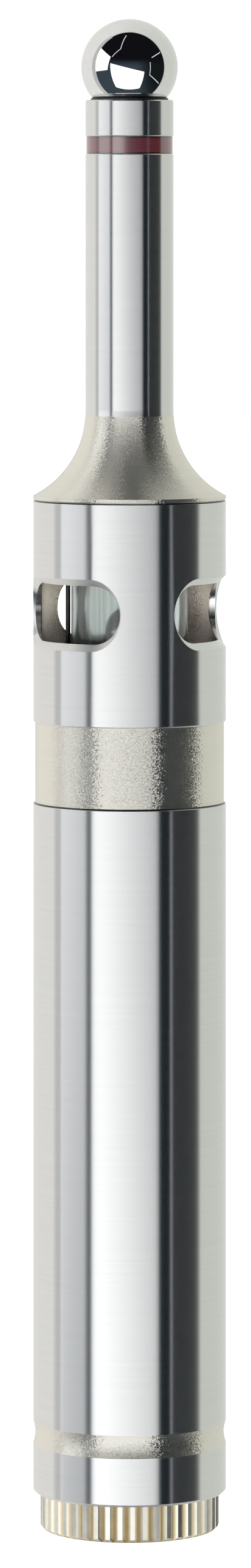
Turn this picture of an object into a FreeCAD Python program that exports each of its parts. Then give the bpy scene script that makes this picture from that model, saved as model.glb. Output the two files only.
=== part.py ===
"""Electronic edge finder with a sprung 10 mm contact ball, a 20 mm straight shank and cells inside.

All sizes are in millimetres. The instrument stands on its battery cap: the origin is the centre of the cap's
flat foot and +Z runs up the axis to the ball. Angles round the axis count from +X towards +Y.

Current path: ball, stud, tension spring, anchor, contact washer, signal wire, board, lamp, battery contact,
cells, cap spring, cap, shank. The seat side is kept off the metal body by the insulating ring and the sleeve.
"""

import FreeCAD, Part
import math
import os

# ---------------------------------------------------------------- clearances
THREAD_GAP = 0.05          # radial play between a screwed neck and its socket
SLIP_GAP = 0.05            # radial play of a piece dropped into its bore
BALL_LIFT = 0.03           # air between the ball and its seat's rim
END_GAP = 0.05             # air between a turning or sprung end and the face beside it

# ---------------------------------------------------------------- battery cap
CAP_RADIUS = 9.25
CAP_HEIGHT = 3.8
CAP_CHAMFER = 0.35
CAP_FLOOR = 2.6            # thickness left under the spring's pocket
KNURL_COUNT = 45
KNURL_DEPTH = 0.42
KNURL_LAND_SHARE = 0.36    # part of each pitch left as the ridge's crest
NECK_RADIUS = 7.0
NECK_LENGTH = 6.5
NECK_CHAMFER = 0.5
NECK_RELIEF_DEPTH = 0.5    # run-out groove above the cap's head
NECK_RELIEF_WIDTH = 0.9

# ---------------------------------------------------------------- cap spring
CAP_SPRING_WIRE = 0.4      # wire radius
CAP_SPRING_RADIUS = 3.5    # mean coil radius
CAP_SPRING_TURNS = 4
CAP_SPRING_ROOM = 0.5      # radial room round the coil in its pocket
CAP_SPRING_SPAN = 8.9      # from the pocket's floor to the lower cell

# ---------------------------------------------------------------- cells
CELL_RADIUS = 5.95
CELL_BODY = 29.4
CELL_NUB_RADIUS = 2.1
CELL_NUB_HEIGHT = 0.8
CELL_EDGE = 0.4
CELL_PLAY = 0.45           # radial room of a cell in the shank's bore
CELL_DROP = 3.4            # upper cell's nub end below the shank's top

# ---------------------------------------------------------------- shank, as long as the cells and their spring need
SHANK_RADIUS = 10.0
SHANK_FOOT_CHAMFER = 0.25
SHANK_TOP_CHAMFER = 0.2
SOCKET_EXTRA = 0.9         # socket depth beyond the neck or spigot screwed into it
GROOVE_BOTTOM = 5.0        # groove's lower edge above the shank's end
GROOVE_WIDTH = 2.35
GROOVE_DEPTH = 0.22

# ---------------------------------------------------------------- windowed head
SPIGOT_RADIUS = 8.0
SPIGOT_LENGTH = 7.3
COLLAR_INSET = 0.2         # satin collar's radius less than the shank's
COLLAR_LENGTH = 8.3
HEAD_LENGTH = 23.0         # ground length above the satin collar
HEAD_WALL = 0.9
HEAD_CHAMFER = 0.12
WINDOW_COUNT = 3
WINDOW_HEIGHT = 6.0
WINDOW_TRAVEL = 50.5       # degrees between the centres of a window's round ends
WINDOW_ANGLE = -18.9       # degrees from +X to the first window's middle
WINDOW_LIP = 0.2           # wall left square under the bevel

# ---------------------------------------------------------------- stem
STEM_RADIUS = 4.55
STEM_BORE = 3.4
STEM_TOP = 35.95           # stem's end above the head
STEM_CHAMFER = 0.12
FLARE_RADIUS = 10.0
FLARE_RIM = 0.45           # straight edge under the flare
STEM_FOOT_LENGTH = 5.0     # length of stem pressed into the head
TUBE_POCKET_DEPTH = 2.0
NOTCH_WIDTH = 1.0
NOTCH_HEIGHT = 1.0         # room for the wire above the light tube
NOTCH_MARGIN = 0.4         # notch length past the wire

# ---------------------------------------------------------------- insulating ring, tip collar and seat
RING_HEIGHT = 1.75
RING_INSET = 0.08
RING_BORE = 2.8
RING_LOWER_NECK = 4.5
RING_UPPER_NECK = 2.6
TIP_HEIGHT = 3.8
SEAT_RADIUS = 4.02
SEAT_CONTACT_RADIUS = 3.85
SEAT_HEIGHT = 1.18
SEAT_PROUD = 0.18
SEAT_THROAT = 3.1
SEAT_LIP = 0.2             # straight throat under the seat's cone

# ---------------------------------------------------------------- ball and stud
BALL_RADIUS = 5.0
STUD_RADIUS = 0.95
STUD_GRIP = 3.0            # length of stud held in the ball
STUD_LENGTH = 2.5          # length of stud below the ball
EYE_RADIUS = 0.62
EYE_TO_END = 0.95          # eye's centre from the end of the stud or of the anchor
EYE_HALF_THICKNESS = 0.65

# ---------------------------------------------------------------- tension spring
BALL_SPRING_WIRE = 0.3     # wire radius
BALL_SPRING_RADIUS = 1.8   # mean radius of coil and hooks
BALL_SPRING_TURNS = 9
HOOK_SWEEP = 240           # degrees of hook at each end
HOOK_RISE = 0.9            # straight wire between the coil and a hook
RISE_SWELL = 1.1           # the sharply bent wire there is this much thicker
HOOK_SHIFT = 0.12          # hook's centre line past the eye's centre

# ---------------------------------------------------------------- sleeve, washer and anchor
SLEEVE_BORE = 2.8
SLEEVE_LENGTH = 28.0
WEB_HEIGHT = 6.6           # web's underside above the sleeve's foot
WEB_THICKNESS = 1.4
WASHER_THICKNESS = 0.5
ANCHOR_ROD_RADIUS = 1.25
ANCHOR_ROD_RISE = 3.5      # anchor rod above the web
ANCHOR_FLANGE_RADIUS = 1.8
ANCHOR_FLANGE = 1.05

# ---------------------------------------------------------------- plug, board and lamp
PLUG_RADIUS = 6.4
PLUG_FLANGE_RADIUS = 8.0
PLUG_FLANGE = 3.2
PLUG_FLOOR = 0.8           # flange thickness under the board
PLUG_SHELF = 9.9           # shelf that the plug's flange rests on, above the shank's top
BOARD_RADIUS = 6.9
BOARD_THICKNESS = 1.0
LEAD_POCKET_RADIUS = 2.2
LEAD_POCKET_DEPTH = 1.0
CONTACT_RADIUS = 2.5
CONTACT_HEAD = 1.1
CONTACT_ROD = 0.75
LAMP_RADIUS = 2.5
LAMP_RIM = 0.4
LAMP_RIM_HEIGHT = 1.0
LAMP_BODY = 5.1            # straight length from the lamp's base to its dome
LAMP_STANDOFF = 1.0
LEAD_RADIUS = 0.25
LEAD_SPACING = 2.54
LEAD_TAIL = 0.7            # lead left under the board
RESISTOR_LENGTH = 2.0
RESISTOR_WIDTH = 1.25
RESISTOR_HEIGHT = 0.55
RESISTOR_OFFSET = 3.75     # resistor's middle from the axis
RESISTOR_CAP_LENGTH = 0.4
RESISTOR_CAP_RISE = 0.06

# ---------------------------------------------------------------- light tube
TUBE_RADIUS = 6.05
TUBE_BORE = 4.6

# ---------------------------------------------------------------- signal wire
WIRE_RADIUS = 0.25
WIRE_TUBE_GAP = 0.08
WIRE_INSET = 0.35          # wire's centre inside the washer's rim
WIRE_BEND = 0.8

# ---------------------------------------------------------------- heights worked out from the sizes above
shank_foot = CAP_HEIGHT
neck_top = CAP_HEIGHT + NECK_LENGTH
lower_cell_base = CAP_FLOOR + CAP_SPRING_SPAN
upper_cell_base = lower_cell_base + CELL_BODY + CELL_NUB_HEIGHT
cells_top = upper_cell_base + CELL_BODY + CELL_NUB_HEIGHT
shank_top = cells_top + CELL_DROP
spigot_foot = shank_top - SPIGOT_LENGTH
head_base = shank_top + COLLAR_LENGTH
head_top = head_base + HEAD_LENGTH
window_height = (head_base + head_top) / 2
plug_shelf = shank_top + PLUG_SHELF
board_base = plug_shelf + PLUG_FLOOR
board_top = board_base + BOARD_THICKNESS
contact_top = cells_top + CONTACT_HEAD
stem_foot = head_top - STEM_FOOT_LENGTH
tube_top = stem_foot + TUBE_POCKET_DEPTH
ring_base = head_top + STEM_TOP
ring_top = ring_base + RING_HEIGHT
tip_top = ring_top + TIP_HEIGHT
seat_top = tip_top + SEAT_PROUD
seat_base = seat_top - SEAT_HEIGHT
ball_height = seat_top + math.sqrt(BALL_RADIUS ** 2 - SEAT_CONTACT_RADIUS ** 2) + BALL_LIFT
stud_end = ball_height - BALL_RADIUS - STUD_LENGTH
stud_eye = stud_end + EYE_TO_END
sleeve_top = ring_base - RING_LOWER_NECK
sleeve_foot = sleeve_top - SLEEVE_LENGTH
web_base = sleeve_foot + WEB_HEIGHT
web_top = web_base + WEB_THICKNESS
washer_base = web_base - WASHER_THICKNESS
anchor_end = web_top + ANCHOR_ROD_RISE
anchor_eye = anchor_end - EYE_TO_END

ORIGIN = FreeCAD.Vector(0, 0, 0)
UP = FreeCAD.Vector(0, 0, 1)
ACROSS = FreeCAD.Vector(1, 0, 0)
EYE_AXIS = FreeCAD.Vector(0, 1, 0)


# ---------------------------------------------------------------- building blocks
def at(x, y, z):
    return FreeCAD.Vector(x, y, z)


def turned(outline):
    """Solid of revolution from a closed outline. A pair is a corner (radius, height), and four numbers are
    a corner reached by an arc through a middle point: (radius, height, middle radius, middle height)."""
    edges = []
    last = at(outline[-1][0], 0, outline[-1][1])
    for corner in outline:
        end = at(corner[0], 0, corner[1])
        if len(corner) == 4:
            edges.append(Part.Arc(last, at(corner[2], 0, corner[3]), end).toShape())
        else:
            edges.append(Part.LineSegment(last, end).toShape())
        last = end
    return Part.Face(Part.Wire(edges)).revolve(ORIGIN, UP, 360)


def rod(radius, low, high, x=0.0, y=0.0):
    return Part.makeCylinder(radius, high - low, at(x, y, low), UP)


def ring(outer, inner, low, high):
    return rod(outer, low, high).cut(rod(inner, low, high))


def slab(low, high):
    """Box from its lowest to its highest corner."""
    size = high - low
    return Part.makeBox(size.x, size.y, size.z, low)


def coil(wire_radius, mean_radius, turns, low, high):
    """Round wire wound about Z, which starts and ends on the -Y side of the axis."""
    pitch = (high - low) / turns
    path = Part.makeHelix(pitch, high - low, mean_radius)
    start = FreeCAD.Vector(mean_radius, 0, 0)
    heading = FreeCAD.Vector(0, 2 * math.pi * mean_radius, pitch)
    section = Part.Wire(Part.makeCircle(wire_radius, start, heading))
    body = Part.Wire(path).makePipeShell([section], True, True)
    body.rotate(ORIGIN, UP, -90)
    body.translate(FreeCAD.Vector(0, 0, low))
    return body


def eye_end(radius, low, high, eye_height):
    """Round rod whose end is flattened and cross drilled along the eye's axis."""
    body = rod(radius, low, high)
    flat_low = eye_height - EYE_TO_END
    flat_high = eye_height + EYE_TO_END
    for side in (-1, 1):
        outer = side * radius
        inner = side * EYE_HALF_THICKNESS
        body = body.cut(slab(at(-radius, min(inner, outer), flat_low), at(radius, max(inner, outer), flat_high)))
    drill = Part.makeCylinder(EYE_RADIUS, 2 * radius, at(0, -radius, eye_height), EYE_AXIS)
    return body.cut(drill)


# ---------------------------------------------------------------- battery cap and its spring
def knurled_bar(low, high):
    """Prism with straight V grooves round it, whose crests lie on the cap's radius."""
    pitch = 2 * math.pi / KNURL_COUNT
    half_land = pitch * KNURL_LAND_SHARE / 2
    crest = CAP_RADIUS / math.cos(half_land)
    root = CAP_RADIUS - KNURL_DEPTH
    corners = []
    for tooth in range(KNURL_COUNT):
        middle = tooth * pitch
        for radius, angle in ((crest, middle - half_land), (crest, middle + half_land), (root, middle + pitch / 2)):
            corners.append(at(radius * math.cos(angle), radius * math.sin(angle), low))
    outline = Part.makePolygon(corners + corners[:1])
    return Part.Face(outline).extrude(at(0, 0, high - low))


def battery_cap():
    head = turned([
        (0, 0),
        (CAP_RADIUS - CAP_CHAMFER, 0),
        (CAP_RADIUS, CAP_CHAMFER),
        (CAP_RADIUS, CAP_HEIGHT),
        (0, CAP_HEIGHT),
    ]).common(knurled_bar(0, CAP_HEIGHT))
    relief = NECK_RADIUS - NECK_RELIEF_DEPTH
    neck = turned([
        (0, CAP_HEIGHT),
        (relief, CAP_HEIGHT),
        (relief, CAP_HEIGHT + NECK_RELIEF_WIDTH),
        (NECK_RADIUS, CAP_HEIGHT + NECK_RELIEF_WIDTH),
        (NECK_RADIUS, neck_top - NECK_CHAMFER),
        (NECK_RADIUS - NECK_CHAMFER, neck_top),
        (0, neck_top),
    ])
    pocket = CAP_SPRING_RADIUS + CAP_SPRING_WIRE + CAP_SPRING_ROOM
    return head.fuse(neck).cut(rod(pocket, CAP_FLOOR, neck_top)).removeSplitter()


def cap_spring():
    """Compression spring between the cap's pocket and the lower cell."""
    low = CAP_FLOOR + CAP_SPRING_WIRE + END_GAP
    high = lower_cell_base - CAP_SPRING_WIRE - END_GAP
    return coil(CAP_SPRING_WIRE, CAP_SPRING_RADIUS, CAP_SPRING_TURNS, low, high)


# ---------------------------------------------------------------- cells
def cell(base):
    shoulder = base + CELL_BODY
    return turned([
        (0, base),
        (CELL_RADIUS - CELL_EDGE, base),
        (CELL_RADIUS, base + CELL_EDGE),
        (CELL_RADIUS, shoulder - CELL_EDGE),
        (CELL_RADIUS - CELL_EDGE, shoulder),
        (CELL_NUB_RADIUS, shoulder),
        (CELL_NUB_RADIUS, shoulder + CELL_NUB_HEIGHT),
        (0, shoulder + CELL_NUB_HEIGHT),
    ])


# ---------------------------------------------------------------- shank
def shank():
    """Ground tube with a shallow ring groove outside and a screwed socket at each end."""
    lower_socket = NECK_RADIUS + THREAD_GAP
    upper_socket = SPIGOT_RADIUS + THREAD_GAP
    bore = CELL_RADIUS + CELL_PLAY
    groove_low = shank_foot + GROOVE_BOTTOM
    groove_high = groove_low + GROOVE_WIDTH
    return turned([
        (lower_socket, shank_foot),
        (SHANK_RADIUS - SHANK_FOOT_CHAMFER, shank_foot),
        (SHANK_RADIUS, shank_foot + SHANK_FOOT_CHAMFER),
        (SHANK_RADIUS, groove_low),
        (SHANK_RADIUS, groove_high, SHANK_RADIUS - GROOVE_DEPTH, (groove_low + groove_high) / 2),
        (SHANK_RADIUS, shank_top - SHANK_TOP_CHAMFER),
        (SHANK_RADIUS - SHANK_TOP_CHAMFER, shank_top),
        (upper_socket, shank_top),
        (upper_socket, spigot_foot - SOCKET_EXTRA),
        (bore, spigot_foot - SOCKET_EXTRA),
        (bore, neck_top + SOCKET_EXTRA),
        (lower_socket, neck_top + SOCKET_EXTRA),
    ])


# ---------------------------------------------------------------- windowed head
def window_cutter(angle, near, far, near_half, far_half):
    """Obround hole through the wall, from radius near to far, whose half height may grow on the way out."""
    section = Part.makePolygon([
        at(near, 0, window_height - near_half),
        at(far, 0, window_height - far_half),
        at(far, 0, window_height + far_half),
        at(near, 0, window_height + near_half),
        at(near, 0, window_height - near_half),
    ])
    cutter = Part.Face(section).revolve(ORIGIN, UP, WINDOW_TRAVEL)
    for turn in (0, WINDOW_TRAVEL):
        foot = at(near, 0, window_height)
        if near_half == far_half:
            end = Part.makeCylinder(near_half, far - near, foot, ACROSS)
        else:
            end = Part.makeCone(near_half, far_half, far - near, foot, ACROSS)
        end.rotate(ORIGIN, UP, turn)
        cutter = cutter.fuse(end)
    cutter.rotate(ORIGIN, UP, angle - WINDOW_TRAVEL / 2)
    return cutter


def head():
    """Thin windowed tube over a satin collar and a screwed spigot. Each window is bevelled outside."""
    bore = SHANK_RADIUS - HEAD_WALL
    collar = SHANK_RADIUS - COLLAR_INSET
    plug_bore = PLUG_RADIUS + SLIP_GAP
    body = turned([
        (plug_bore, spigot_foot),
        (SPIGOT_RADIUS - NECK_CHAMFER, spigot_foot),
        (SPIGOT_RADIUS, spigot_foot + NECK_CHAMFER),
        (SPIGOT_RADIUS, shank_top - NECK_RELIEF_WIDTH),
        (SPIGOT_RADIUS - NECK_RELIEF_DEPTH, shank_top - NECK_RELIEF_WIDTH),
        (SPIGOT_RADIUS - NECK_RELIEF_DEPTH, shank_top),
        (collar, shank_top),
        (collar, head_base),
        (SHANK_RADIUS - HEAD_CHAMFER, head_base),
        (SHANK_RADIUS, head_base + HEAD_CHAMFER),
        (SHANK_RADIUS, head_top - HEAD_CHAMFER),
        (SHANK_RADIUS - HEAD_CHAMFER, head_top),
        (bore, head_top),
        (bore, plug_shelf),
        (plug_bore, plug_shelf),
    ])
    half = WINDOW_HEIGHT / 2
    middle_of_cavity = bore / 2
    bevel_start = bore + WINDOW_LIP
    bevel_reach = SHANK_RADIUS + WINDOW_LIP
    for number in range(WINDOW_COUNT):
        angle = WINDOW_ANGLE + number * 360 / WINDOW_COUNT
        body = body.cut(window_cutter(angle, middle_of_cavity, bevel_reach, half, half))
        grown = half + bevel_reach - bevel_start
        body = body.cut(window_cutter(angle, bevel_start, bevel_reach, half, grown))
    return body


# ---------------------------------------------------------------- stem
def wire_rail():
    """Distance of the signal wire's outer run from the axis."""
    return TUBE_RADIUS + WIRE_TUBE_GAP + WIRE_RADIUS


def stem():
    """Long thin neck that flares out to the head. Its foot is pressed into the head and holds the light tube."""
    foot_radius = SHANK_RADIUS - HEAD_WALL - SLIP_GAP
    pocket = TUBE_RADIUS + SLIP_GAP
    rim_top = head_top + FLARE_RIM
    arc_centre = STEM_RADIUS + FLARE_RADIUS
    reach = arc_centre - SHANK_RADIUS
    flare_top = rim_top + math.sqrt(FLARE_RADIUS ** 2 - reach ** 2)
    half_angle = math.acos(reach / FLARE_RADIUS) / 2
    middle = (arc_centre - FLARE_RADIUS * math.cos(half_angle), flare_top - FLARE_RADIUS * math.sin(half_angle))
    body = turned([
        (STEM_BORE, tube_top),
        (pocket, tube_top),
        (pocket, stem_foot),
        (foot_radius, stem_foot),
        (foot_radius, head_top),
        (SHANK_RADIUS - HEAD_CHAMFER, head_top),
        (SHANK_RADIUS, head_top + HEAD_CHAMFER),
        (SHANK_RADIUS, rim_top),
        (STEM_RADIUS, flare_top, *middle),
        (STEM_RADIUS, ring_base - STEM_CHAMFER),
        (STEM_RADIUS - STEM_CHAMFER, ring_base),
        (STEM_BORE, ring_base),
    ])
    notch_reach = wire_rail() + WIRE_RADIUS + NOTCH_MARGIN
    half = NOTCH_WIDTH / 2
    notch = slab(at(-notch_reach, -half, stem_foot), at(0, half, tube_top + NOTCH_HEIGHT))
    return body.cut(notch)


# ---------------------------------------------------------------- tip
def insulating_ring():
    """Coloured ring between stem and tip collar, with a neck into each of them."""
    neck = STEM_BORE - SLIP_GAP
    outer = STEM_RADIUS - RING_INSET
    return turned([
        (RING_BORE, sleeve_top),
        (neck, sleeve_top),
        (neck, ring_base),
        (outer, ring_base),
        (outer, ring_top),
        (neck, ring_top),
        (neck, ring_top + RING_UPPER_NECK),
        (RING_BORE, ring_top + RING_UPPER_NECK),
    ])


def tip_collar():
    return turned([
        (STEM_BORE, ring_top),
        (STEM_RADIUS - STEM_CHAMFER, ring_top),
        (STEM_RADIUS, ring_top + STEM_CHAMFER),
        (STEM_RADIUS, tip_top - STEM_CHAMFER),
        (STEM_RADIUS - STEM_CHAMFER, tip_top),
        (SEAT_RADIUS, tip_top),
        (SEAT_RADIUS, seat_base),
        (STEM_BORE, seat_base),
    ])


def ball_seat():
    """Ring with an open cone, steeper than the ball, so that the ball bears on the rim alone."""
    return turned([
        (SEAT_THROAT, seat_base),
        (SEAT_RADIUS, seat_base),
        (SEAT_RADIUS, seat_top),
        (SEAT_CONTACT_RADIUS, seat_top),
        (SEAT_THROAT, seat_base + SEAT_LIP),
    ])


def ball():
    hole_top = ball_height - BALL_RADIUS + STUD_GRIP
    sphere = Part.makeSphere(BALL_RADIUS, at(0, 0, ball_height))
    return sphere.cut(rod(STUD_RADIUS + SLIP_GAP, ball_height - BALL_RADIUS, hole_top))


def ball_stud():
    return eye_end(STUD_RADIUS, stud_end, ball_height - BALL_RADIUS + STUD_GRIP, stud_eye)


# ---------------------------------------------------------------- tension spring and its anchor
def spring_hook(coil_end, hook_centre, sweep):
    """Straight rise from the coil's end and a loop round the axis of the eye."""
    side = -BALL_SPRING_RADIUS
    overlap = math.copysign(BALL_SPRING_WIRE, coil_end - hook_centre)
    low, high = sorted((coil_end + overlap, hook_centre))
    rise = rod(BALL_SPRING_WIRE * RISE_SWELL, low, high, y=side)
    disc = Part.Face(Part.Wire(Part.makeCircle(BALL_SPRING_WIRE, at(0, side, hook_centre), UP)))
    loop = disc.revolve(at(0, 0, hook_centre), ACROSS, sweep)
    return rise.fuse(loop)


def ball_spring():
    """Tension spring between the anchor's eye and the stud's eye."""
    upper_centre = stud_eye + HOOK_SHIFT - BALL_SPRING_RADIUS
    lower_centre = anchor_eye - HOOK_SHIFT + BALL_SPRING_RADIUS
    coil_low = lower_centre + HOOK_RISE
    coil_high = upper_centre - HOOK_RISE
    body = coil(BALL_SPRING_WIRE, BALL_SPRING_RADIUS, BALL_SPRING_TURNS, coil_low, coil_high)
    body = body.fuse(spring_hook(coil_high, upper_centre, -HOOK_SWEEP))
    return body.fuse(spring_hook(coil_low, lower_centre, HOOK_SWEEP))


def insulating_sleeve():
    """Liner of the stem's bore. The web across it carries the spring's anchor."""
    web_hole = ANCHOR_ROD_RADIUS + THREAD_GAP
    outer = STEM_BORE - SLIP_GAP
    return turned([
        (SLEEVE_BORE, sleeve_foot),
        (outer, sleeve_foot),
        (outer, sleeve_top),
        (SLEEVE_BORE, sleeve_top),
        (SLEEVE_BORE, web_top),
        (web_hole, web_top),
        (web_hole, web_base),
        (SLEEVE_BORE, web_base),
    ])


def contact_washer():
    return ring(SLEEVE_BORE - SLIP_GAP, ANCHOR_ROD_RADIUS + THREAD_GAP, washer_base, web_base)


def spring_anchor():
    """Headed pin that turns in the web and takes the spring's lower hook in its eye."""
    flange_top = washer_base - END_GAP
    pin = eye_end(ANCHOR_ROD_RADIUS, flange_top, anchor_end, anchor_eye)
    return pin.fuse(rod(ANCHOR_FLANGE_RADIUS, flange_top - ANCHOR_FLANGE, flange_top))


# ---------------------------------------------------------------- signal wire
def signal_wire():
    """Runs down from the washer, steps out over the light tube's end and drops beside it to the board."""
    inner = -(SLEEVE_BORE - SLIP_GAP - WIRE_INSET)
    outer = -wire_rail()
    step = tube_top + NOTCH_HEIGHT / 2
    bend = WIRE_BEND
    slack = bend * (1 - math.sqrt(0.5))
    path = Part.Wire([
        Part.LineSegment(at(inner, 0, washer_base), at(inner, 0, step + bend)).toShape(),
        Part.Arc(at(inner, 0, step + bend), at(inner - slack, 0, step + slack),
                 at(inner - bend, 0, step)).toShape(),
        Part.LineSegment(at(inner - bend, 0, step), at(outer + bend, 0, step)).toShape(),
        Part.Arc(at(outer + bend, 0, step), at(outer + slack, 0, step - slack),
                 at(outer, 0, step - bend)).toShape(),
        Part.LineSegment(at(outer, 0, step - bend), at(outer, 0, board_top)).toShape(),
    ])
    section = Part.Wire(Part.makeCircle(WIRE_RADIUS, at(inner, 0, washer_base), UP))
    return path.makePipeShell([section], True, False)


# ---------------------------------------------------------------- light tube, lamp, board and plug
def light_tube():
    return ring(TUBE_RADIUS, TUBE_BORE, board_top, tube_top)


def lamp():
    """Clear lamp with a rim at its base and a round nose."""
    base = board_top + LAMP_STANDOFF
    dome = base + LAMP_BODY
    rim = LAMP_RADIUS + LAMP_RIM
    diagonal = LAMP_RADIUS * math.sqrt(0.5)
    return turned([
        (0, base),
        (rim, base),
        (rim, base + LAMP_RIM_HEIGHT),
        (LAMP_RADIUS, base + LAMP_RIM_HEIGHT),
        (LAMP_RADIUS, dome),
        (0, dome + LAMP_RADIUS, diagonal, dome + diagonal),
    ])


def lead_places():
    return (-LEAD_SPACING / 2, LEAD_SPACING / 2)


def lamp_leads():
    low = board_base - LEAD_TAIL
    high = board_top + LAMP_STANDOFF
    return Part.makeCompound([rod(LEAD_RADIUS, low, high, x=place) for place in lead_places()])


def lamp_board():
    board = rod(BOARD_RADIUS, board_base, board_top)
    for place in lead_places():
        board = board.cut(rod(LEAD_RADIUS + SLIP_GAP, board_base, board_top, x=place))
    return board


def resistor():
    """Chip resistor with a raised metal cap at each end."""
    near = RESISTOR_OFFSET - RESISTOR_WIDTH / 2
    far = RESISTOR_OFFSET + RESISTOR_WIDTH / 2
    half = RESISTOR_LENGTH / 2
    chip = slab(at(near, -half, board_top), at(far, half, board_top + RESISTOR_HEIGHT))
    top = board_top + RESISTOR_HEIGHT
    waist_half = half - RESISTOR_CAP_LENGTH
    waist = slab(at(near, -waist_half, top - RESISTOR_CAP_RISE), at(far, waist_half, top))
    return chip.cut(waist)


def board_plug():
    """Insulating plug in the head: it carries the board above and the battery contact below."""
    rod_hole = CONTACT_ROD + SLIP_GAP
    recess = BOARD_RADIUS + SLIP_GAP
    flange_top = plug_shelf + PLUG_FLANGE
    pocket_floor = board_base - LEAD_POCKET_DEPTH
    return turned([
        (rod_hole, contact_top),
        (PLUG_RADIUS, contact_top),
        (PLUG_RADIUS, plug_shelf),
        (PLUG_FLANGE_RADIUS, plug_shelf),
        (PLUG_FLANGE_RADIUS, flange_top),
        (recess, flange_top),
        (recess, board_base),
        (LEAD_POCKET_RADIUS, board_base),
        (LEAD_POCKET_RADIUS, pocket_floor),
        (rod_hole, pocket_floor),
    ])


def battery_contact():
    return turned([
        (0, cells_top),
        (CONTACT_RADIUS, cells_top),
        (CONTACT_RADIUS, contact_top),
        (CONTACT_ROD, contact_top),
        (CONTACT_ROD, board_base),
        (0, board_base),
    ])


# ---------------------------------------------------------------- all the pieces
PIECES = {
    "battery_cap": battery_cap,
    "cap_spring": cap_spring,
    "lower_cell": lambda: cell(lower_cell_base),
    "upper_cell": lambda: cell(upper_cell_base),
    "shank": shank,
    "head": head,
    "stem": stem,
    "insulating_ring": insulating_ring,
    "tip_collar": tip_collar,
    "ball_seat": ball_seat,
    "ball": ball,
    "ball_stud": ball_stud,
    "ball_spring": ball_spring,
    "insulating_sleeve": insulating_sleeve,
    "contact_washer": contact_washer,
    "spring_anchor": spring_anchor,
    "signal_wire": signal_wire,
    "light_tube": light_tube,
    "lamp": lamp,
    "lamp_leads": lamp_leads,
    "lamp_board": lamp_board,
    "resistor": resistor,
    "board_plug": board_plug,
    "battery_contact": battery_contact,
}

os.makedirs("parts", exist_ok=True)
for name, make in PIECES.items():
    shape = make()
    if not shape.isValid() or shape.Volume <= 0:
        raise ValueError(name + " is not a sound solid")
    shape.exportStep(os.path.join("parts", name + ".step"))
    print(name, len(shape.Solids), "solid,", round(shape.Volume, 2), "mm3")
print("ball centre", round(ball_height, 3), "stud eye", round(stud_eye, 3), "top", round(ball_height + BALL_RADIUS, 3))
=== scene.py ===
"""Looks, light and camera for the electronic edge finder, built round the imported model.

Metres. The instrument stands on its battery cap at the origin with +Z up its axis, and the camera looks
along +Y. Directions in the studio are (compass angle, angle above the horizon) in degrees. Compass 0 is the
camera's side, and the angle grows towards +X.
"""

import math

import bpy
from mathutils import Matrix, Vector


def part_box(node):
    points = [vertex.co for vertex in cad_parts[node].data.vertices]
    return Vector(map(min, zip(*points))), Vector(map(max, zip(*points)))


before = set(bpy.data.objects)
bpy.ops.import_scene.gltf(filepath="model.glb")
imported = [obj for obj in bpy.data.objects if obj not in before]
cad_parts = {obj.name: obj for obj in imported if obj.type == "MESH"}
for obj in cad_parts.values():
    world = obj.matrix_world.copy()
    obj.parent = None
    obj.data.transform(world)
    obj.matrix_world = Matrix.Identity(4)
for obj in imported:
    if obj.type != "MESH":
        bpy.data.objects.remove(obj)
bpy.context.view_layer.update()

MM = 0.001

# ---------------------------------------------------------------- sizes of the model that the looks follow
GROOVE_RISE = 5.0 * MM         # groove's lower edge above the shank's foot
GROOVE_WIDTH = 2.35 * MM
COLLAR_LENGTH = 8.3 * MM       # satin collar between the shank and the ground head
FLARE_LENGTH = 9.35 * MM       # from the head's top to where the flare meets the neck
RING_HEIGHT = 1.75 * MM
CAP_RADIUS = 9.25 * MM
CAP_HEIGHT = 3.8 * MM
KNURL_DEPTH = 0.42 * MM
STEM_SKIN = 3.5 * MM           # stem and tip are bore within this radius
SHANK_SKIN_DEPTH = 0.6 * MM    # the shank is bore deeper than this under its surface
HEAD_SKIN_DEPTH = 0.8 * MM

# ---------------------------------------------------------------- places read from the frame
SHANK_LOW, SHANK_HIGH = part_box("shank")
HEAD_LOW, HEAD_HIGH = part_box("head")
STEM_LOW, STEM_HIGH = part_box("stem")
CAP_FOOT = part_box("battery_cap")[0][2]

SHANK_RADIUS = SHANK_HIGH[0]
SHANK_TOP = SHANK_HIGH[2]
HEAD_TOP = HEAD_HIGH[2]
GROOVE_FOOT = SHANK_LOW[2] + GROOVE_RISE
GROOVE_TOP = GROOVE_FOOT + GROOVE_WIDTH
COLLAR_TOP = SHANK_TOP + COLLAR_LENGTH
FLARE_TOP = HEAD_TOP + FLARE_LENGTH
WINDOW_MIDDLE = (COLLAR_TOP + HEAD_TOP) / 2
RING_FOOT = STEM_HIGH[2]
RING_TOP = RING_FOOT + RING_HEIGHT

# ---------------------------------------------------------------- camera
CAMERA_HEIGHT = 0.1416     # level with the top of the stem, looking straight ahead
CAMERA_DISTANCE = 0.7345
SIDE_SHIFT = -0.00042      # the instrument stands a little right of the picture's middle
LENS = 162.4
SENSOR = 36.0
PICTURE_DROP = -0.3963     # the picture's middle lies this share of its height below eye level
NEAR_CLIP = 10 * MM

# ---------------------------------------------------------------- noise
NOISE_LOW = 0.3            # most of a noise texture's values lie between these two
NOISE_HIGH = 0.7
FINE_DETAIL = 3.0
SOFT_DETAIL = 2.0


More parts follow.
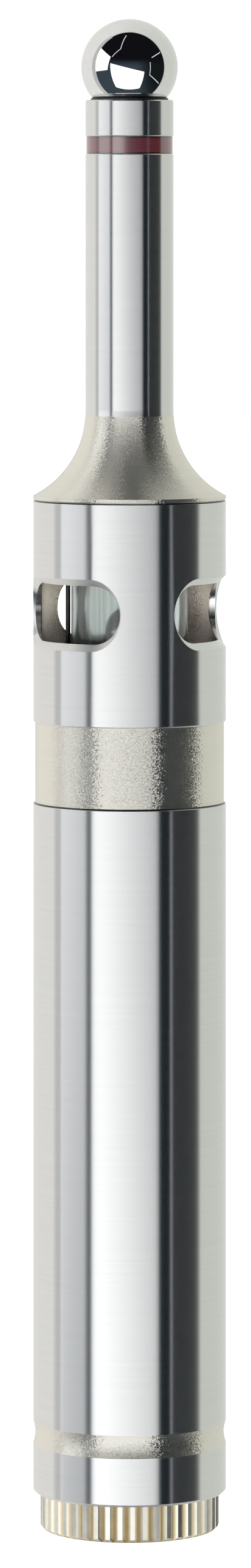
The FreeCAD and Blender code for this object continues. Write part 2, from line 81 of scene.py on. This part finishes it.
# ---------------------------------------------------------------- node building
class Graph:
    """Short names for the nodes that the materials and the studio are made of."""

    def __init__(self, tree):
        self.tree = tree
        tree.nodes.clear()

    def node(self, kind, **settings):
        made = self.tree.nodes.new(kind)
        for name, value in settings.items():
            setattr(made, name, value)
        return made

    def feed(self, socket, value):
        """Links the socket when value is another node's output, and sets it otherwise."""
        if isinstance(value, bpy.types.NodeSocket):
            self.tree.links.new(value, socket)
        else:
            socket.default_value = value

    # numbers
    def math(self, operation, first, second=0.0, clamp=False):
        made = self.node("ShaderNodeMath", operation=operation, use_clamp=clamp)
        self.feed(made.inputs[0], first)
        self.feed(made.inputs[1], second)
        return made.outputs[0]

    def varied(self, value, reach, base):
        """base, raised by up to reach as value goes from 0 to 1."""
        return self.math("ADD", self.math("MULTIPLY", value, reach), base)

    def rise(self, value, low, high):
        """0 up to low, 1 from high on, with a smooth step between."""
        made = self.node("ShaderNodeMapRange", interpolation_type="SMOOTHSTEP")
        self.feed(made.inputs["Value"], value)
        made.inputs["From Min"].default_value = low
        made.inputs["From Max"].default_value = high
        return made.outputs[0]

    def step(self, value, place, soft):
        """Smooth step from 0 to 1 that reaches soft to both sides of the place."""
        return self.rise(value, place - soft, place + soft)

    def span(self, value, low, high, soft):
        """1 between low and high, fading to 0 over soft on both sides."""
        return self.math("MULTIPLY", self.step(value, low, soft),
                         self.math("SUBTRACT", 1.0, self.step(value, high, soft)))

    # vectors
    def vector(self, operation, first, second=(0, 0, 0)):
        made = self.node("ShaderNodeVectorMath", operation=operation)
        self.feed(made.inputs[0], first)
        self.feed(made.inputs[1], second)
        return made.outputs[0]

    def scaled(self, vector, amount):
        made = self.node("ShaderNodeVectorMath", operation="SCALE")
        self.feed(made.inputs[0], vector)
        self.feed(made.inputs["Scale"], amount)
        return made.outputs[0]

    def dot(self, first, second):
        made = self.node("ShaderNodeVectorMath", operation="DOT_PRODUCT")
        self.feed(made.inputs[0], first)
        self.feed(made.inputs[1], second)
        return made.outputs["Value"]

    def parts_of(self, vector):
        made = self.node("ShaderNodeSeparateXYZ")
        self.feed(made.inputs[0], vector)
        return made.outputs

    # places
    def place(self):
        """Position in the piece's own frame, which is the shared frame at rest."""
        return self.node("ShaderNodeTexCoord").outputs["Object"]

    def height(self, place):
        return self.parts_of(place)[2]

    def radius(self, place):
        """Distance from the axis."""
        x, y = self.parts_of(place)[:2]
        return self.math("SQRT", self.math("ADD", self.math("MULTIPLY", x, x), self.math("MULTIPLY", y, y)))

    def round_axis(self):
        """Direction round the axis, as the tool that cut the surface went."""
        return self.node("ShaderNodeTangent", direction_type="RADIAL", axis="Z").outputs[0]

    # noise
    def noise(self, vector, scale, detail=SOFT_DETAIL):
        return self.noise_node(vector, scale, detail).outputs[0]

    def noise_node(self, vector, scale, detail):
        made = self.node("ShaderNodeTexNoise")
        self.feed(made.inputs["Vector"], vector)
        made.inputs["Scale"].default_value = scale
        made.inputs["Detail"].default_value = detail
        return made

    def drawn_noise(self, place, across, along):
        """Noise with its own scale across the axis and along it. Unlike scales draw it out into rings round
        the axis or streaks along it."""
        return self.noise(self.vector("MULTIPLY", place, (across, across, along)), 1.0, FINE_DETAIL)

    def grained_normal(self, place, scale, strength):
        """Surface normal turned a little at random by a fine grain."""
        grain = self.noise_node(place, scale, SOFT_DETAIL)
        turn = self.vector("SUBTRACT", grain.outputs["Color"], (0.5, 0.5, 0.5))
        turn = self.scaled(turn, strength)
        normal = self.node("ShaderNodeNewGeometry").outputs["Normal"]
        return self.vector("NORMALIZE", self.vector("ADD", normal, turn))

    # colours
    def blend(self, share, first, second):
        """Colour that goes from first to second as share goes from 0 to 1."""
        made = self.node("ShaderNodeMix", data_type="RGBA")
        self.feed(made.inputs[0], share)
        self.feed(made.inputs[6], first)
        self.feed(made.inputs[7], second)
        return made.outputs[2]

    def tint(self, first, second):
        """Product of two colours."""
        made = self.node("ShaderNodeMix", data_type="RGBA", blend_type="MULTIPLY")
        made.inputs[0].default_value = 1.0
        self.feed(made.inputs[6], first)
        self.feed(made.inputs[7], second)
        return made.outputs[2]

    def between(self, value, first, second, low=NOISE_LOW, high=NOISE_HIGH):
        """Colour that follows a noise: first up to low, second from high on."""
        made = self.node("ShaderNodeValToRGB")
        self.feed(made.inputs[0], value)
        for element, place, colour in zip(made.color_ramp.elements, (low, high), (first, second)):
            element.position = place
            element.color = colour
        return made.outputs[0]

    def surface(self, **sockets):
        """Principled surface as the material's output. Underscores in names stand for spaces."""
        shader = self.node("ShaderNodeBsdfPrincipled")
        for name, value in sockets.items():
            self.feed(shader.inputs[name.replace("_", " ")], value)
        output = self.node("ShaderNodeOutputMaterial")
        self.tree.links.new(shader.outputs[0], output.inputs["Surface"])


def material(name, paint):
    """New material whose nodes are laid by the function paint."""
    made = bpy.data.materials.new(name)
    made.use_nodes = True
    paint(Graph(made.node_tree))
    return made


def grey(value):
    return (value, value, value, 1)


# ---------------------------------------------------------------- materials: steel
POLISHED = grey(0.82)
WARM_SATIN = (0.95, 0.92, 0.84, 1)
# painted shade and painted light of the bore seen through the windows: darker low, paler high
BORE_PAINTED_SHADE = (0.30, 0.26, 0.24, 1)
BORE_PAINTED_LIGHT = (0.68, 0.62, 0.55, 1)
# painted shade for the gaps at joints between parts
JOINT_PAINTED_SHADE = grey(0.07)
BALL_DARK = (0.83, 0.83, 0.84, 1)
BALL_LIGHT = grey(0.88)

POLISHED_ROUGHNESS = 0.25
SATIN_ROUGHNESS = 0.36
MARKS_ROUGHNESS = 0.012        # added where the grinding marks are deepest
MARKS_SHADE = grey(0.97)
HAZE_ROUGHNESS = 0.06          # of mirror steel and clear resin, where their haze is thickest
SATIN_GRAIN = 0.55             # how far the satin grain turns the surface's normal
SATIN_GRAIN_SCALE = 7000
BORE_SHADE_BELOW = 2.4 * MM     # the bore's painted shade pales from this far below the windows' middle
BORE_LIGHT_ABOVE = 1.6 * MM     # to painted light this far above it
SKIN_EDGE = 0.05 * MM          # softness of the edges between the zones
SATIN_EDGE = 0.04 * MM
JOINT_SHADE_EDGE = 0.03 * MM
SHANK_JOINT_SHADE = 0.16 * MM         # painted shade in the joint: a dark line along a top edge, this deep
HEAD_JOINT_SHADE = 0.12 * MM
PAST_THE_TOP = 1.0 * MM        # a zone with this much over covers the edge above it
SATIN_STOP = 0.6 * MM          # the flare's satin ends this far below the neck


def steel(g, skin, satin_zones=(), seams=()):
    """Polished ground steel with satin zones and painted shade along joints at given heights, duller and
    browner inside the radius skin, where painted shade darkens the bore below the windows' middle and
    painted light pales it above. Its grinding rings spread reflections along the axis and leave them sharp
    across it."""
    place = g.place()
    height = g.height(place)
    marks = g.drawn_noise(place, across=60, along=5200)
    satin = 0.0
    for low, high in satin_zones:
        satin = g.math("ADD", satin, g.span(height, low, high, SATIN_EDGE), clamp=True)
    inside = g.math("SUBTRACT", 1.0, g.step(g.radius(place), skin, SKIN_EDGE))
    # painted shade low on the bore and painted light high on it, by height round the windows' middle
    pale = g.rise(height, WINDOW_MIDDLE - BORE_SHADE_BELOW, WINDOW_MIDDLE + BORE_LIGHT_ABOVE)
    colour = g.blend(satin, POLISHED, WARM_SATIN)
    colour = g.blend(inside, colour, g.blend(pale, BORE_PAINTED_SHADE, BORE_PAINTED_LIGHT))
    colour = g.tint(colour, g.between(marks, MARKS_SHADE, grey(1.0)))
    # painted shade along the joints at the shank's and the head's top edges
    for low, high in seams:
        colour = g.blend(g.span(height, low, high, JOINT_SHADE_EDGE), colour, JOINT_PAINTED_SHADE)
    dull = g.math("MAXIMUM", satin, inside)
    normal = g.grained_normal(place, SATIN_GRAIN_SCALE, g.math("MULTIPLY", dull, SATIN_GRAIN))
    roughness = g.varied(dull, SATIN_ROUGHNESS - POLISHED_ROUGHNESS, POLISHED_ROUGHNESS)
    roughness = g.varied(marks, MARKS_ROUGHNESS, roughness)
    g.surface(Base_Color=colour, Metallic=1.0, Roughness=roughness, Normal=normal,
              Anisotropic=1.0, Anisotropic_Rotation=0.25, Tangent=g.round_axis())


def shank_steel(g):
    seam = (SHANK_TOP - SHANK_JOINT_SHADE, SHANK_TOP + PAST_THE_TOP)
    steel(g, SHANK_RADIUS - SHANK_SKIN_DEPTH, [(GROOVE_FOOT, GROOVE_TOP)], [seam])


def head_steel(g):
    seam = (HEAD_TOP - HEAD_JOINT_SHADE, HEAD_TOP + PAST_THE_TOP)
    steel(g, SHANK_RADIUS - HEAD_SKIN_DEPTH, [(HEAD_LOW[2], COLLAR_TOP)], [seam])


def stem_steel(g):
    steel(g, STEM_SKIN, [(STEM_LOW[2], FLARE_TOP - SATIN_STOP)])


def tip_steel(g):
    steel(g, STEM_SKIN)


def ball_steel(g):
    haze = g.drawn_noise(g.place(), across=900, along=900)
    g.surface(Base_Color=g.between(haze, BALL_DARK, BALL_LIGHT), Metallic=1.0,
              Roughness=g.math("MULTIPLY", haze, HAZE_ROUGHNESS))


# ---------------------------------------------------------------- materials: other metals
def plain_metal(light, dark, roughness, ring_scale):
    """Dull metal whose tone and gloss vary a little in rings round the axis."""
    def paint(g):
        marks = g.drawn_noise(g.place(), across=300, along=ring_scale)
        g.surface(Base_Color=g.between(marks, dark, light), Metallic=1.0,
                  Roughness=g.varied(marks, reach=0.15, base=roughness))
    return paint


SATIN_STEEL = plain_metal(light=(0.66, 0.65, 0.62, 1), dark=(0.5, 0.49, 0.47, 1),
                          roughness=0.25, ring_scale=4000)
SPRING_WIRE = plain_metal(light=(0.62, 0.62, 0.63, 1), dark=(0.4, 0.4, 0.42, 1),
                          roughness=0.2, ring_scale=900)
TINNED = plain_metal(light=(0.78, 0.78, 0.76, 1), dark=(0.6, 0.6, 0.58, 1),
                     roughness=0.3, ring_scale=900)

# painted shade in the knurl's grooves and painted highlight on its ridges
BRASS_GROOVE_SHADE = (0.66, 0.56, 0.38, 1)
BRASS_RIDGE_HIGHLIGHT = (0.98, 0.95, 0.84, 1)
BRASS_NECK = (0.80, 0.66, 0.38, 1)
BRASS_SHADE = grey(0.86)
BRASS_ROUGHNESS = 0.34
BRASS_NECK_EDGE = 0.05 * MM
GROOVE_BOTTOM_DEPTH = 0.1 * MM     # a groove's full painted shade, this far above its bottom
RIDGE_CREST_DEPTH = 0.02 * MM      # a ridge's full painted highlight, this far below its crest


def brass(g):
    """Brass cap whose knurl ridges carry a painted highlight and whose grooves between them carry painted
    shade.
    """
    place = g.place()
    height = g.height(place)
    marks = g.drawn_noise(place, across=900, along=900)
    bottom = CAP_RADIUS - KNURL_DEPTH
    # painted shade in the knurl's grooves and painted highlight on its ridges, by distance from the axis
    crest = g.rise(g.radius(place), bottom + GROOVE_BOTTOM_DEPTH, CAP_RADIUS - RIDGE_CREST_DEPTH)
    colour = g.blend(crest, BRASS_GROOVE_SHADE, BRASS_RIDGE_HIGHLIGHT)
    colour = g.blend(g.step(height, CAP_FOOT + CAP_HEIGHT, BRASS_NECK_EDGE), colour, BRASS_NECK)
    colour = g.tint(colour, g.between(marks, BRASS_SHADE, grey(1.0)))
    g.surface(Base_Color=colour, Metallic=1.0, Roughness=g.varied(marks, reach=0.12, base=BRASS_ROUGHNESS))


# ---------------------------------------------------------------- materials: plastics, board and cells
def plastic(light, dark, roughness, grain=1400, roughness_reach=0.1):
    """Plastic or lacquer with a faint mottling."""
    def paint(g):
        mottle = g.noise(g.place(), grain, FINE_DETAIL)
        g.surface(Base_Color=g.between(mottle, dark, light),
                  Roughness=g.varied(mottle, roughness_reach, roughness))
    return paint


WHITE_SLEEVE = plastic(light=(0.82, 0.81, 0.77, 1), dark=(0.74, 0.72, 0.68, 1), roughness=0.4)
WHITE_PLUG = plastic(light=(0.80, 0.78, 0.72, 1), dark=(0.70, 0.68, 0.62, 1), roughness=0.4)
BLACK_SEAT = plastic(light=grey(0.03), dark=grey(0.012), roughness=0.35)
BLACK_COVER = plastic(light=grey(0.03), dark=grey(0.01), roughness=0.4)
GREEN_LACQUER = plastic(light=(0.05, 0.17, 0.08, 1), dark=(0.03, 0.11, 0.05, 1), roughness=0.35,
                        grain=900, roughness_reach=0.15)

RING_RED_LIGHT = (0.19, 0.035, 0.05, 1)
RING_RED_DARK = (0.13, 0.022, 0.035, 1)
# painted shade for the gaps at the ring's top and bottom edges
RING_EDGE_PAINTED_SHADE = (0.03, 0.008, 0.01, 1)
RING_SHADE_DEPTH = 0.16 * MM
RING_SHADE_SOFTNESS = 0.08 * MM


def red_ring(g):
    """Turned red plastic: fine rings, a polish that mirrors the lights, and painted shade along each edge
    where the ring meets the metal.
    """
    place = g.place()
    marks = g.drawn_noise(place, across=80, along=5200)
    # painted shade in the gaps at the ring's top and bottom edges
    body = g.span(g.height(place), RING_FOOT + RING_SHADE_DEPTH, RING_TOP - RING_SHADE_DEPTH, RING_SHADE_SOFTNESS)
    tone = g.blend(body, RING_EDGE_PAINTED_SHADE, g.between(marks, RING_RED_DARK, RING_RED_LIGHT))
    g.surface(Base_Color=tone, Roughness=g.varied(marks, reach=0.1, base=0.14), IOR=2.1, Coat_Weight=0.8,
              Coat_Roughness=0.12, Coat_IOR=1.8)


CHIP_WAIST = 0.6 * MM          # half the length between the chip's metal ends
CHIP_END_EDGE = 0.02 * MM


def chip(g):
    """Black chip with tinned ends."""
    place = g.place()
    along = g.math("ABSOLUTE", g.parts_of(place)[1])
    end = g.step(along, CHIP_WAIST, CHIP_END_EDGE)
    speck = g.noise(place, 4000)
    tone = g.blend(end, g.between(speck, grey(0.02), grey(0.05)), grey(0.75))
    g.surface(Base_Color=tone, Metallic=end, Roughness=g.varied(speck, reach=0.2, base=0.3))


JACKET_RADIUS = 5.75 * MM      # the jacket covers a cell outside this radius
JACKET_EDGE = 0.05 * MM
JACKET_LIGHT = (0.27, 0.32, 0.40, 1)
JACKET_DARK = (0.20, 0.25, 0.32, 1)
CELL_END = (0.72, 0.72, 0.70, 1)


def cell_jacket(g):
    """Plain silver blue jacket with bare metal at both ends."""
    place = g.place()
    fine = g.drawn_noise(place, across=200, along=1500)
    side = g.step(g.radius(place), JACKET_RADIUS, JACKET_EDGE)
    tone = g.blend(side, CELL_END, g.between(fine, JACKET_DARK, JACKET_LIGHT))
    g.surface(Base_Color=tone, Metallic=0.9, Roughness=g.varied(fine, reach=0.15, base=0.25))


# ---------------------------------------------------------------- materials: clear pieces
TUBE_DARK = (0.42, 0.47, 0.47, 1)
TUBE_LIGHT = (0.74, 0.78, 0.75, 1)
LAMP_DARK = (0.90, 0.93, 0.95, 1)


def acrylic(g):
    """Clear tube with faint upright drawing lines."""
    streaks = g.drawn_noise(g.place(), across=2200, along=40)
    g.surface(Base_Color=g.between(streaks, TUBE_DARK, TUBE_LIGHT, low=0.35, high=0.65),
              Roughness=g.varied(streaks, reach=0.22, base=0.02), Transmission_Weight=0.92, IOR=1.49)


def epoxy(g):
    haze = g.noise(g.place(), 900)
    g.surface(Base_Color=g.between(haze, LAMP_DARK, grey(1.0)),
              Roughness=g.math("MULTIPLY", haze, HAZE_ROUGHNESS), Transmission_Weight=0.95, IOR=1.54)


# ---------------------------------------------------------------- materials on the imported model
NODE_MATERIALS = {
    "shank": ("shank_ground_steel", shank_steel),
    "head": ("head_ground_steel", head_steel),
    "stem": ("stem_ground_steel", stem_steel),
    "tip_collar": ("tip_ground_steel", tip_steel),
    "ball": ("ball_mirror_steel", ball_steel),
    "ball_stud": ("stud_satin_steel", SATIN_STEEL),
    "spring_anchor": ("anchor_satin_steel", SATIN_STEEL),
    "ball_spring": ("spring_wire", SPRING_WIRE),
    "cap_spring": ("cap_spring_wire", SPRING_WIRE),
    "battery_cap": ("knurled_brass", brass),
    "insulating_ring": ("ring_red_plastic", red_ring),
    "ball_seat": ("seat_black_plastic", BLACK_SEAT),
    "insulating_sleeve": ("sleeve_white_plastic", WHITE_SLEEVE),
    "board_plug": ("plug_white_plastic", WHITE_PLUG),
    "lamp_board": ("board_green_lacquer", GREEN_LACQUER),
    "resistor": ("resistor_chip", chip),
    "signal_wire": ("wire_black_cover", BLACK_COVER),
    "contact_washer": ("washer_tinned", TINNED),
    "lamp_leads": ("leads_tinned", TINNED),
    "battery_contact": ("contact_tinned", TINNED),
    "lower_cell": ("lower_cell_jacket", cell_jacket),
    "upper_cell": ("upper_cell_jacket", cell_jacket),
    "light_tube": ("tube_clear_acrylic", acrylic),
    "lamp": ("lamp_clear_epoxy", epoxy),
}


def dress_nodes():
    for node, (name, paint) in NODE_MATERIALS.items():
        made = material(name, paint)
        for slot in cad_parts[node].material_slots:
            slot.material = made


# ---------------------------------------------------------------- studio
# Lights, as the directions of their corners or ends.
FRONT_SHEET = [(-47, 8), (36, -11), (34, -50), (-44, -46)]
LEFT_CARD = [(-90, 34), (-49, 22), (-55, -6), (-90, -7)]
CARD_STRIP = [(-102, 60), (-89, 60), (-89, -60), (-102, -60)]
THIN_RAILS = [
    ((-35, 80), (-27, 43)),
    ((-27, 43), (-45, 23)),
    ((58, 20), (88, 26)),
    ((51, 10), (51, -17)),
    ((51, -17), (86, -29)),
]
SHEET_LIGHT = (1.8, 1.82, 1.82, 1)
CARD_LIGHT = (1.45, 1.47, 1.48, 1)
STRIP_LIGHT = (0.55, 0.55, 0.54, 1)
RAIL_LIGHT = (0.85, 0.88, 0.92, 1)
ROOM_ABOVE = (0.006, 0.006, 0.008, 1)
ROOM_BELOW_LEFT = (0.045, 0.062, 0.080, 1)
ROOM_BELOW_RIGHT = (0.008, 0.011, 0.012, 1)
BACKDROP_LEFT = (0.86, 0.85, 0.82, 1)
BACKDROP_RIGHT = (0.66, 0.68, 0.63, 1)

# Softness and extent, as parts of a unit vector.
SHEET_EDGE = 0.012
RAIL_HALF_WIDTH = 0.013
RAIL_END = 0.004
ROOM_BELOW_FADE = (0.2, 0.85)      # how far to the right the room goes dark
ROOM_ABOVE_FADE = (0.0, 0.35)      # how far up it goes dark
BACKDROP_EDGE = (0.01, 0.07)       # how far behind the instrument the backdrop begins


def heading(compass, above):
    """Unit vector from the instrument towards a place in the studio."""
    turn = math.radians(compass)
    lift = math.radians(above)
    return Vector((math.sin(turn) * math.cos(lift), -math.cos(turn) * math.cos(lift), math.sin(lift)))


def inside_corners(g, direction, corners):
    """1 for directions inside the corners, taken in order round a convex outline."""
    points = [heading(*corner) for corner in corners]
    middle = sum(points, Vector())
    share = 1.0
    for here, following in zip(points, points[1:] + points[:1]):
        side = here.cross(following).normalized()
        if side.dot(middle) < 0:
            side.negate()
        share = g.math("MULTIPLY", share, g.step(g.dot(direction, side), 0.0, SHEET_EDGE))
    return share


def along_rail(g, direction, ends):
    """1 for directions near the straight line between two places."""
    start, end = (heading(*place) for place in ends)
    side = start.cross(end).normalized()
    middle = (start + end).normalized()
    reach = middle.dot(start)
    off = g.math("ABSOLUTE", g.dot(direction, side))
    near = g.math("SUBTRACT", 1.0, g.rise(off, 0.5 * RAIL_HALF_WIDTH, 1.5 * RAIL_HALF_WIDTH))
    return g.math("MULTIPLY", near, g.rise(g.dot(direction, middle), reach - RAIL_END, reach))


def studio():
    """Soft light from a sheet in front and a card on the left, before a dark room and a pale backdrop."""
    world = bpy.data.worlds.new("studio")
    bpy.context.scene.world = world
    world.use_nodes = True
    g = Graph(world.node_tree)
    direction = g.node("ShaderNodeTexCoord").outputs["Generated"]
    x, y, z = g.parts_of(direction)
    below = g.blend(g.rise(x, *ROOM_BELOW_FADE), ROOM_BELOW_LEFT, ROOM_BELOW_RIGHT)
    light = g.blend(g.rise(z, *ROOM_ABOVE_FADE), below, ROOM_ABOVE)
    backdrop = g.blend(g.step(x, 0.0, 1.0), BACKDROP_LEFT, BACKDROP_RIGHT)
    light = g.blend(g.rise(y, *BACKDROP_EDGE), light, backdrop)
    for corners, tone in ((CARD_STRIP, STRIP_LIGHT), (LEFT_CARD, CARD_LIGHT), (FRONT_SHEET, SHEET_LIGHT)):
        light = g.blend(inside_corners(g, direction, corners), light, tone)
    for ends in THIN_RAILS:
        light = g.blend(along_rail(g, direction, ends), light, RAIL_LIGHT)
    seen = g.node("ShaderNodeLightPath").outputs["Is Camera Ray"]
    background = g.node("ShaderNodeBackground")
    g.feed(background.inputs["Color"], g.blend(seen, light, grey(1.0)))
    output = g.node("ShaderNodeOutputWorld")
    g.tree.links.new(background.outputs[0], output.inputs["Surface"])


# ---------------------------------------------------------------- floor
FLOOR_HALF = 3.0
FLOOR_DROP = 0.02 * MM         # just clear of the cap's foot


def floor_paint(g):
    speck = g.noise(g.place(), 300)
    g.surface(Base_Color=g.between(speck, grey(0.90), grey(0.93)), Roughness=0.8, Emission_Color=grey(1.0),
              Emission_Strength=1.0)


def floor():
    """Plain pale floor that the instrument stands on. Metal doesn't mirror it."""
    corners = [(-FLOOR_HALF, -FLOOR_HALF, 0), (FLOOR_HALF, -FLOOR_HALF, 0),
               (FLOOR_HALF, FLOOR_HALF, 0), (-FLOOR_HALF, FLOOR_HALF, 0)]
    mesh = bpy.data.meshes.new("floor")
    mesh.from_pydata(corners, [], [(0, 1, 2, 3)])
    mesh.materials.append(material("floor_pale", floor_paint))
    piece = bpy.data.objects.new("floor", mesh)
    bpy.context.scene.collection.objects.link(piece)
    piece.visible_glossy = False
    piece.location.z = -FLOOR_DROP


def camera():
    data = bpy.data.cameras.new("camera")
    data.lens = LENS
    data.sensor_width = SENSOR
    data.shift_y = PICTURE_DROP
    data.clip_start = NEAR_CLIP
    made = bpy.data.objects.new("camera", data)
    bpy.context.scene.collection.objects.link(made)
    made.location = (SIDE_SHIFT, -CAMERA_DISTANCE, CAMERA_HEIGHT)
    made.rotation_euler = (math.pi / 2, 0, 0)
    bpy.context.scene.camera = made


bpy.context.scene.view_settings.view_transform = "Standard"
dress_nodes()
studio()
floor()
camera()
